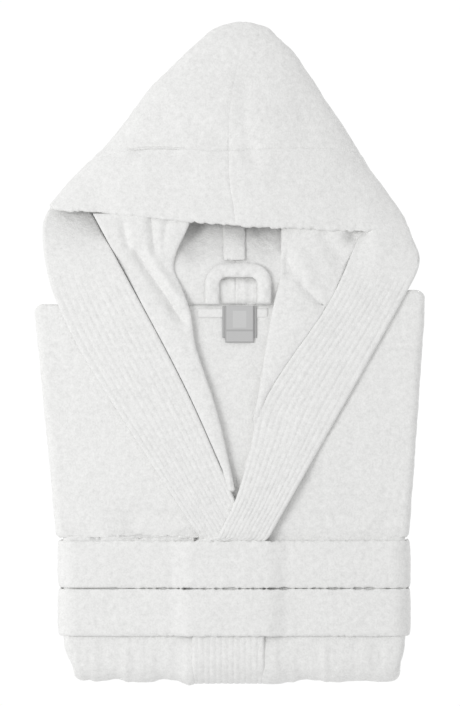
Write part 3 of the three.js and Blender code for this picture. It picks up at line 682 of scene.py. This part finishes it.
for side, word in SIDES:
    path = hood_rows(HOOD_STEP, FACING_TOP_Y, facing_rest)
    chest_rows = roll_path(LAPEL_STEP, HIDDEN_STEP)
    path += [row for row in chest_rows if row[0] == "top" and row[1] > CROSS_Y + 6]
    past_seam = 0.6 if side < 0 else 1.0
    lines = []
    for run, y, *_ in path:
        roll, seam = float(roll_line[side](y)), float(seam_line[side](y))
        out = spaced(max(abs(seam + past_seam - roll), 8), 1.6)
        crown = 1.6 * np.sin(np.clip(out / abs(seam - roll), 0, 1) * math.pi)
        lines.append(np.stack([roll + side * out, -AIR - FACING_THICK / 2 - crown], axis=-1))
    grid = on_roll(path, even_lines(lines))
    grid[..., 2] += sum(dent(grid, *crease) for crease in FACING_CREASES[side])
    shape = shell(grid, FACING_THICK, 0.8 * grain(grid, 26), side=-side, edge=4.0)
    facing = cloth(f"facing_{word}", terry, shape)
    belongs(facing, None, [])
    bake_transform(facing)

# ---------------------------------------------------------------- hood
# Two terry halves joined by a seam over the head. It lies as a flat pocket: the upper layer from the face
# opening to the peak, folded at the sides into the lower layer, which is sewn into the neck.

LAYER_ROWS = 150
SEAM_LAP = 1.4  # how far the two lower halves lap over the centre seam
SEAM_GAP = 1.2  # from the band's seam to the cloth on either side of it
# Slow hollows of the upper layer and of the lining: start, end, half-width and depth.
HOOD_HOLLOWS = (
    ((-100, 214), (-60, 210), 8, 2.2), ((20, 212), (26, 198), 8, 2.4), ((-30, 240), (-8, 222), 12, 2.0),
    ((60, 196), (110, 190), 20, 2.0), ((12, 290), (16, 240), 9, 1.6),
)
LINING_HOLLOWS = (((-34, 132), (-38, 108), 14, 6), ((29, 138), (29, 132), 9, 5), ((-4, 80), (24, 80), 6, 4))

# The seam between the hood and its band, as (x, y) in mm.
band_seam = curve((-200, 172), (-149, 200), (-96, 214.7), (-12, 212.6), (92, 214.7), (135, 209), (200, 172))


def hood_edge(x):
    """Where the hood's own cloth starts, at its seam with the band."""
    return band_seam(x) - SEAM_GAP


def peak_line(x):
    """Where it ends, at the tip."""
    return np.full_like(x, PEAK_TIP_Y - 0.1)


def row_lengths(points):
    """The length of each row of points (rows x many x 3)."""
    return np.linalg.norm(np.diff(points, axis=1), axis=2).sum(1)


def resample(points, shares):
    """Each row of points (rows x many x 3) again, at shares of its length."""
    gap = np.linalg.norm(np.diff(points, axis=1), axis=2)
    along = np.concatenate([np.zeros((len(points), 1)), np.cumsum(gap, axis=1)], axis=1)
    made = np.empty((len(points), len(shares), 3))
    for r, row in enumerate(points):
        for k in range(3):
            made[r, :, k] = np.interp(shares * along[r, -1], along[r], row[:, k])
    return made


def upper_layer(side, shares, low_line, high_line, fine):
    """The upper layer between two lines y(x), from the centre seam out, round the fold and a bit back in."""
    out = np.sin(np.linspace(0, 0.5, 120) * math.pi) ** 0.77
    back_in = np.linspace(1, 0.93, 12)[1:]
    dense = []
    for v in shares:
        # A row's y depends on its own x, so it is found in a few rounds.
        y = np.full(len(out), 160.0)
        for _ in range(8):
            x = hood_point(side, out, y)[:, 0]
            low, high = low_line(x), high_line(x)
            root = lerp(np.sqrt(PEAK_TIP_Y - low), np.sqrt(np.maximum(PEAK_TIP_Y - high, 0)), v)
            y = PEAK_TIP_Y - root ** 2
        top = hood_point(side, out, y)
        under = hood_point(side, back_in, np.full(len(back_in), y[-1]), tuck=True)
        dense.append(np.concatenate([top, under]))
    dense = np.array(dense)
    longest = row_lengths(dense).max()
    return resample(dense, spaced(longest, fine) / longest)


def soft(grid):
    """Slow hollows of the upper layer, which is only lightly filled."""
    slow = 2.4 * grain(grid, 55) + 1.0 * grain(grid + 12, 24)
    return slow + sum(dent(grid, *hollow) for hollow in HOOD_HOLLOWS)


def lower_layer(side):
    """The lining from the neck up, inside the upper layer's fold once past the lobes."""
    near_peak = PEAK_TIP_Y - np.linspace(14.1, 0.6, 70) ** 2
    dense = []
    for y in np.concatenate([np.arange(NECK_Y + AIR, 150, 1.8), near_peak]):
        wide = float(HALF[side](math.sqrt(PEAK_TIP_Y - y)))
        reach = lerp(wide - 3, 0.955 * wide - 1, float(smooth((y - 118) / 22)))
        x = float(ridge_x(y)) + side * np.linspace(-SEAM_LAP, reach, 300)
        z = float(under_hood(y)) + TERRY_THICK / 2
        dense.append(np.stack([x, np.full_like(x, y), np.full_like(x, z)], axis=-1))
    dense = np.array(dense)
    return resample(dense, np.linspace(0, 1, int(row_lengths(dense).max() / 2.0) + 1))


for side, word in SIDES:
    shares = np.linspace(0, 1, LAYER_ROWS)
    top = upper_layer(side, shares, hood_edge, peak_line, 1.9)
    off_ridge = top[..., 0] - ridge_x(top[..., 1])
    relief = soft(top) - 0.3 * hill(off_ridge, 2.2) - 0.5 * hill(shares[:, None] * 140, 2.2)
    upper = shell(top, TERRY_THICK, relief, side=side)
    lining = lower_layer(side)
    x, y = lining[..., 0], lining[..., 1]
    # Inside the hanging loop the neck's gathers stand up in short ridges.
    inside_loop = smooth((x + 16) / 5) * smooth((33 - x) / 5) * smooth((y - 53) / 3) * smooth((77 - y) / 4)
    gathers = 1.4 * inside_loop * (0.4 + grain(lining * [1, 0.2, 0], 5.5))
    lining[..., 2] += sum(dent(lining, *hollow) for hollow in LINING_HOLLOWS)
    lower = shell(lining, TERRY_THICK, 0.9 * grain(lining, 24) + gathers, side=side)
    half = cloth(f"hood_{word}", terry, upper, lower)
    belongs(half, "hood", [f"hood_panel_{word}"])

# ---------------------------------------------------------------- band of the hood's opening
# The doubled band goes on round the face opening. Its rim is the free edge, with the terry standing out of
# it, and its two halves are joined over the centre seam.

RIM_WIDE = 80
# The free edge of the hood's opening, as (x, y) in mm.
rim_line = curve((-200, 155), (-178, 149.6), (-142, 147.5), (-84, 141), (-42, 137), (21, 131.8), (73, 129.7),
                 (121, 127.6), (142, 127.6), (170, 127), (200, 126))


def rim_seam(x):
    """Where the band ends, at its seam with the hood."""
    return band_seam(x) + SEAM_GAP


for side, word in SIDES:
    shares = spaced(RIM_WIDE, 1.5) / RIM_WIDE
    grid = upper_layer(side, shares, rim_line, rim_seam, 1.6)
    away = shares[:, None] * RIM_WIDE
    off_ridge = grid[..., 0] - ridge_x(grid[..., 1])
    relief = soft(grid) - 0.4 * hill(off_ridge, 1.8) - 0.6 * hill(RIM_WIDE - away, 2.2)
    fringe = 0.8 + 1.8 * hill(away, 3)
    grid[..., 1] += 1.3 * grain(grid * [1, 0.3, 1], 2.8) * hill(away, 2.5)
    rim = cloth(f"hood_band_{word}_rim", quilted, shell(grid, BAND_THICK, relief, fringe, side, edge=3.0))
    belongs(rim, "hood", [f"hood_band_{word}"])

# ---------------------------------------------------------------- tapes
# Terry tape covers the hood's centre seam on the inside, and thin cotton twill tape the neck seam. Under
# the neck tape the seam's allowance is turned up towards the hood.

TAPE_THICK = 0.8
SEAM_TAPE_LOW_Y = 97
SEAM_TAPE_HIGH_Y = 292
SEAM_TAPE_COLS = 18


def flat_grid(low, high, z, cols, rows):
    """A level surface between two (x, y) corners."""
    x = np.linspace(low[0], high[0], cols)
    y = np.linspace(low[1], high[1], rows)
    return np.stack([*np.meshgrid(x, y), np.full((rows, cols), z)], axis=-1)


# Twill tape is tightly woven cotton: the same white, with threads too fine to show as more than a faint
# grain.
# Its threads take the same painted shade where they lie low, a little lighter.
twill = terry_material("white_cotton_twill_tape", WHITE, "#e6e6e5", 0.9, 0.25)

seam_rows = []
for y in np.arange(SEAM_TAPE_LOW_Y, SEAM_TAPE_HIGH_Y, 3.0):
    x = 6 + 8 * float(smooth((y - 160) / 160)) + np.linspace(-13, 10, SEAM_TAPE_COLS)
    arch = 1.6 * np.sin(np.linspace(0.3, 2.6, SEAM_TAPE_COLS))
    z = float(under_hood(y)) + TERRY_THICK + 2.0 + arch
    seam_rows.append(np.stack([x, np.full_like(x, y), z], axis=-1))
grid = np.array(seam_rows)
relief = 1.0 * grain(grid * [1, 0.3, 1], 9)
seam_tape = cloth("hood_centre_tape", terry, shell(grid, 2 * TAPE_THICK, relief, rough=0.8, edge=2.0))
belongs(seam_tape, "hood", ["hood_seam_tape"])

over_seam = shell(flat_grid((-34, 36.5), (40, 46.5), 61.2, 40, 6), TAPE_THICK, rough=0.3, edge=0.6)
allowance = shell(flat_grid((-54, 41), (50, 50.6), 55.9, 40, 6), TAPE_THICK, rough=0.0, edge=0.6)
neck_tape = cloth("neck_seam_tape", twill, over_seam, allowance)
belongs(neck_tape, "robe", ["neck_tape"])

# ---------------------------------------------------------------- hanging loop
# A padded strap of the same cloth as the robe, with both ends caught in the neck seam. It lies on the
# hood's lining.

LOOP_LEFT = -26
LOOP_RIGHT = 43.5
LOOP_TOP = 94
LOOP_WIDE = 15
LOOP_THICK = 7.0
LOOP_BEND = 15  # radius of its two bends, along the middle of the strap
LOOP_STEP = 1.2
LOOP_COLS = 18
LOOP_FOOT_Y = NECK_Y + 0.6
LOOP_RAISE = 5.2  # from the lining to the middle of the strap
LOOP_CROWN = 1.2

leg_left = LOOP_LEFT + LOOP_WIDE / 2
leg_right = LOOP_RIGHT - LOOP_WIDE / 2
bar_y = LOOP_TOP - LOOP_WIDE / 2
quarter_turn = np.linspace(0, math.pi / 2, 15)
bend_x = LOOP_BEND * (1 - np.cos(quarter_turn))
bend_y = bar_y - LOOP_BEND * (1 - np.sin(quarter_turn))
middle = [(leg_left, y) for y in np.arange(LOOP_FOOT_Y, bar_y - LOOP_BEND, LOOP_STEP)]
middle += zip(leg_left + bend_x, bend_y)
middle += [(x, bar_y) for x in np.arange(leg_left + LOOP_BEND + LOOP_STEP, leg_right - LOOP_BEND, LOOP_STEP)]
middle += zip((leg_right - bend_x)[::-1], bend_y[::-1])
middle += [(leg_right, y) for y in np.arange(bar_y - LOOP_BEND - LOOP_STEP, LOOP_FOOT_Y, -LOOP_STEP)]
middle = np.array(middle)
ahead = np.gradient(middle, axis=0)
ahead = ahead / np.linalg.norm(ahead, axis=1, keepdims=True)
aside = np.stack([-ahead[:, 1], ahead[:, 0]], axis=-1)
grid = np.empty((len(middle), LOOP_COLS, 3))
for c, off in enumerate(np.linspace(-0.5, 0.5, LOOP_COLS)):
    grid[:, c, :2] = middle + aside * off * LOOP_WIDE
    grid[:, c, 2] = under_hood(grid[:, c, 1]) + TERRY_THICK + LOOP_RAISE - LOOP_CROWN * (2 * off) ** 2
relief = 0.8 * grain(grid, 6) + 0.5 * grain(grid + 40, 12)
loop = cloth("loop_strap", terry, shell(grid, LOOP_THICK, relief, rough=1.8, side=-1, edge=7))
belongs(loop, "loop", ["hanging_loop"])

# ---------------------------------------------------------------- labels
# Two woven labels hang from the neck seam: a care label, and over it a longer grey one with a dark border, a
# dark line across and a lighter field. Both are blank. The care label shows only past the grey one's sides,
# and its dark grey there is painted shadow along the grey label's edges.

LABEL_TOP = 49  # y of the seam that both hang from
UPPER_LEFT = -5
UPPER_RIGHT = 25
UPPER_END = 10.4
BORDER = 1.2
CROSS_LINE_Y = 23
FIELD_LOW = (3, 26)
FIELD_HIGH = (17, 44)


# Label satin is smooth polyester yarn, woven so that long threads lie on its face: even in tone, with a
# slight shine. Its threads are too fine to show, so they are drawn 0.5 mm apart.
def woven(name, colour, thread_mm=0.5):
    material = new_material(name)
    place = node(material, "ShaderNodeTexCoord")
    threads = node(material, "ShaderNodeTexWave", {"Scale": 1000 / thread_mm / 6.28, "Distortion": 0.4},
                   {"Vector": (place, "Object")}, bands_direction="DIAGONAL")
    bump = node(material, "ShaderNodeBump", {"Strength": 0.4, "Distance": 0.1 * MM},
                {"Height": (threads, "Fac")})
    yarn = node(material, "ShaderNodeBsdfPrincipled", {"Base Color": linear(colour), "Roughness": 0.55},
                {"Normal": (bump, "Normal")})
    node(material, "ShaderNodeOutputMaterial", links={"Surface": (yarn, "BSDF")})
    return material


grey_satin = woven("grey_woven_satin", "#c0c0c0")
light_satin = woven("light_grey_woven_satin", "#cacaca")
dark_border_and_shade_satin = woven("dark_grey_border_and_painted_shadow", "#adadad")


def label(name, material, low, high, z, thick, curl):
    """A label between two (x, y) corners, hanging from its high edge and curling by curl at its low one."""
    grid = flat_grid(low, high, z, 50, 60)
    away = (high[1] - grid[..., 1]) / (high[1] - low[1])
    grid[..., 2] += curl * away ** 2 + 0.25 * grain(grid, 14)
    return cloth(name, material, shell(grid, thick, rough=0.0, edge=thick))


# The care label's dark grey is painted shadow along the grey label's edges; the same dark satin is the grey
# label's real woven border and line.
lower = label("lower_label", dark_border_and_shade_satin, (-8, 15.4), (28, LABEL_TOP), 62.3, 0.5, -0.1)
belongs(lower, "labels", ["care_label"])
upper = label("upper_label", grey_satin, (UPPER_LEFT, UPPER_END), (UPPER_RIGHT, LABEL_TOP), 63.4, 0.7, 0.1)
upper.data.materials.append(light_satin)
upper.data.materials.append(dark_border_and_shade_satin)
for face in upper.data.polygons:
    x, y, _ = face.center / MM
    if min(x - UPPER_LEFT, UPPER_RIGHT - x, y - UPPER_END) < BORDER or abs(y - CROSS_LINE_Y) < 1.0:
        face.material_index = 2
    elif FIELD_LOW[0] < x < FIELD_HIGH[0] and FIELD_LOW[1] < y < FIELD_HIGH[1]:
        face.material_index = 1
belongs(upper, "labels", ["brand_label"])

# ---------------------------------------------------------------- sleeves and cuffs
# Each sleeve is a terry tube laid flat behind the chest and folded back on itself, ending in a quilted
# cuff. They lie inside the bundle.

SLEEVE_THICK = 2.1
SLEEVE_GAP = 1.3  # from the middle of the flat tube to each of its layers
SLEEVE_INSET = 2  # inside the CAD sleeve at both sides
SLEEVE_STEP = 5
SLEEVE_CLEAR = 2.4  # from the CAD sleeve's faces to the middle of the tube
SLEEVE_BEND = 2.6
SLEEVE_ROW = 6


def flat_tube(side, low, high, path):
    """A flattened tube between x = low and high that follows rows of y, z and its own up (y, z)."""
    x = np.linspace(low, high, int((high - low) / SLEEVE_STEP))
    x = np.concatenate([x[len(x) // 2:], x[::-1], x[:len(x) // 2]])
    quarter = len(x) // 4
    lift = np.full(len(x), -SLEEVE_GAP)
    lift[quarter:-quarter] = SLEEVE_GAP
    grid = np.empty((len(path), len(x), 3))
    for r, (y, z, up_y, up_z) in enumerate(path):
        grid[r] = np.stack([side * x, y + up_y * lift, z + up_z * lift], axis=-1)
    return grid


sleeve_low, sleeve_high = box("sleeve_right")
cuff_low, cuff_high = box("cuff_right")
low_z = sleeve_low[2] + SLEEVE_CLEAR
high_z = sleeve_high[2] - SLEEVE_CLEAR
elbow_y = sleeve_low[1] + 5
for side, word in SIDES:
    path = [(y, low_z, 0, -1) for y in np.arange(sleeve_high[1] - 1, elbow_y, -SLEEVE_ROW)]
    for t in np.linspace(0, math.pi, 7):
        c, s = math.cos(t), math.sin(t)
        path.append((elbow_y - SLEEVE_BEND * s, (low_z + high_z) / 2 - SLEEVE_BEND * c, -s, -c))
    path += [(y, high_z, 0, 1) for y in np.arange(elbow_y + SLEEVE_ROW, cuff_low[1] - 2, SLEEVE_ROW)]
    tube = flat_tube(side, sleeve_low[0] + SLEEVE_INSET, sleeve_high[0] - SLEEVE_INSET, path)
    sleeve = cloth(f"folded_sleeve_{word}", terry, shell(tube, SLEEVE_THICK, rough=0.1))
    belongs(sleeve, "robe", [f"sleeve_{word}"])
    path = [(y, high_z, 0, 1) for y in np.arange(cuff_low[1] + 0.5, cuff_high[1], 5)]
    tube = flat_tube(side, cuff_low[0] + SLEEVE_INSET, cuff_high[0] - SLEEVE_INSET, path)
    cuff = cloth(f"flat_cuff_{word}", quilted, shell(tube, SLEEVE_THICK, rough=0.1))
    belongs(cuff, "robe", [f"cuff_{word}"])

# ---------------------------------------------------------------- pockets and belt loops
# A terry patch pocket is sewn on each front, and lies underneath now that the sides are turned back. A
# twill loop at each side seam holds the sash.

POCKET_Z = 2.6
POCKET_HEM = 28  # from the opening down to the row of stitches

for side, word in SIDES:
    low, high = box(f"pocket_{word}")
    grid = flat_grid(low + 0.5, high - 0.5, POCKET_Z, 40, 60)
    hem = -0.6 * hill(grid[..., 1] - high[1] + POCKET_HEM, 1.5)
    pocket = cloth(f"patch_pocket_{word}", terry, shell(grid, TERRY_THICK, hem, rough=0.7, side=-1))
    belongs(pocket, "robe", [f"pocket_{word}"])
    low, high = box(f"belt_loop_{word}")
    grid = flat_grid(low + 0.2, high - 0.2, (low[2] + high[2]) / 2, 8, 24)
    belt_loop = cloth(f"sash_loop_{word}", twill, shell(grid, 2.0, rough=0.1))
    belongs(belt_loop, "robe", [f"belt_loop_{word}"])

# ---------------------------------------------------------------- sash
# A doubled strip of terry, 50 mm wide and turned out through one end, wound twice round the bundle. It
# crosses over underneath, where both its ends are tucked in.

SASH_WIDE = 50
SASH_THICK = 4.4
SASH_AIR = AIR + 0.4
SASH_SPAN = SASH_WIDE - 0.6  # of its middle surface, inside the rounded edges
SASH_START_X = 150
SASH_END_X = -130
LOW_CORNER = 14
HIGH_CORNER = 16
FIRST_Y = BELT_TOP_Y - SASH_WIDE / 2
SECOND_Y = BELT_LOW_Y + SASH_WIDE / 2
TOP_Z = TIED_TOP_Z + SASH_AIR + SASH_THICK / 2
LOW_Z = TIED_Z - SASH_AIR - SASH_THICK / 2
LEFT_X = -(EDGE[-1]["tied"] + AIR + SASH_THICK / 2 + 0.5)
RIGHT_X = EDGE[1]["tied"] + AIR + SASH_THICK / 2 + 0.5


def rise(x):
    """How far the sash is lifted by the bands that run through under it."""
    return (BAND_THICK + AIR) * smooth((x - BAND_LEFT_X + 24) / 24) * smooth((BAND_RIGHT_X + 26 - x) / 24)


def corner(x, z, out_x, out_z, radius, count):
    """A rounded corner of a box whose square corner is at (x, z), from its level side to its upright one."""
    t = np.linspace(0, math.pi / 2, count)
    return list(zip(x - out_x * radius * (1 - np.sin(t)), z - out_z * radius * (1 - np.cos(t))))


def sash_y(lap, x, underneath):
    """Where the sash lies along the robe: one turn, the next one, or crossing between them."""
    if lap == 0 and underneath and x < 0:
        return lerp(FIRST_Y, SECOND_Y, 0.5 * float(smooth((x + 90) / 95)))
    if lap == 1 and underneath and 0 <= x < 100:
        return lerp(FIRST_Y, SECOND_Y, 0.5 + 0.5 * float(smooth(x / 100)))
    return SECOND_Y if lap else FIRST_Y


# The sash is the robe's own terry, seen on both sides of a turned-out strip.
sash_terry = terry_material("white_terry_sash", WHITE, WHITE_SHADE, 1.6, 0.6)

# One turn round the bundle as (x, z): the right half of the underside, up, over the top, down and home.
ring = [(x, LOW_Z - float(rise(x))) for x in np.arange(0, RIGHT_X - LOW_CORNER, 5.0)]
ring += corner(RIGHT_X, LOW_Z, 1, -1, LOW_CORNER, 9)
ring += [(RIGHT_X, z) for z in np.arange(LOW_Z + LOW_CORNER + 2, TOP_Z - HIGH_CORNER, 2.0)]
ring += corner(RIGHT_X, TOP_Z, 1, 1, HIGH_CORNER, 12)[::-1]
over_top = np.arange(RIGHT_X - HIGH_CORNER - 1.7, LEFT_X + HIGH_CORNER, -1.7)
ring += [(x, TOP_Z + float(rise(x))) for x in over_top]
ring += corner(LEFT_X, TOP_Z, -1, 1, HIGH_CORNER, 12)
ring += [(LEFT_X, z) for z in np.arange(TOP_Z - HIGH_CORNER, LOW_Z + LOW_CORNER, -2.0)]
ring += corner(LEFT_X, LOW_Z, -1, -1, LOW_CORNER, 9)[::-1]
ring += [(x, LOW_Z - float(rise(x))) for x in np.arange(LEFT_X + LOW_CORNER + 5, 0, 5.0)]

first = next(k for k, (x, z) in enumerate(ring) if x > SASH_START_X)
last = max(k for k, (x, z) in enumerate(ring) if z < LOW_Z + 0.5 and x < SASH_END_X)
wound = []
for lap, turn in enumerate((ring[first:], ring[:last + 1])):
    wound += [(x, sash_y(lap, x, z < LOW_Z + 0.5), z) for x, z in turn]
wound = np.array(wound)
ahead = np.gradient(wound, axis=0)
across_wide = (spaced(SASH_SPAN, 1.7) / SASH_SPAN - 0.5) * SASH_SPAN
grid = wound[:, None, :] + np.zeros((1, len(across_wide), 3))
grid[..., 1] += across_wide[None, :]
on_top = smooth((grid[..., 2] - END_Z) / 15)
grid[..., 2] += on_top * swell(grid[..., 0], grid[..., 1]) * (1 - smooth((END_Y + 60 - grid[..., 1]) / 60))
# The terry stands out of both edges in small ragged tufts, except at the far left.
by_edge = hill(SASH_WIDE / 2 - np.abs(across_wide), 2.5)
ragged = 1.0 * grain(grid * [1, 0.3, 1], 2.8) * smooth((grid[..., 0] + 140) / 40)
grid[..., 1] += ragged * np.sign(across_wide) * by_edge
crown = 1.1 * (1 - (2 * across_wide / SASH_WIDE) ** 4)[None, :]
slack = 0.5 * grain(grid * [0.35, 1, 0.35], 14)
fringe = 0.9 + 1.3 * by_edge[None, :]
sash = cloth("sash", sash_terry, shell(grid, SASH_THICK, (crown + slack) * on_top, rough=fringe, edge=3.2))
belongs(sash, "sash", ["belt"])

bpy.context.view_layer.update()
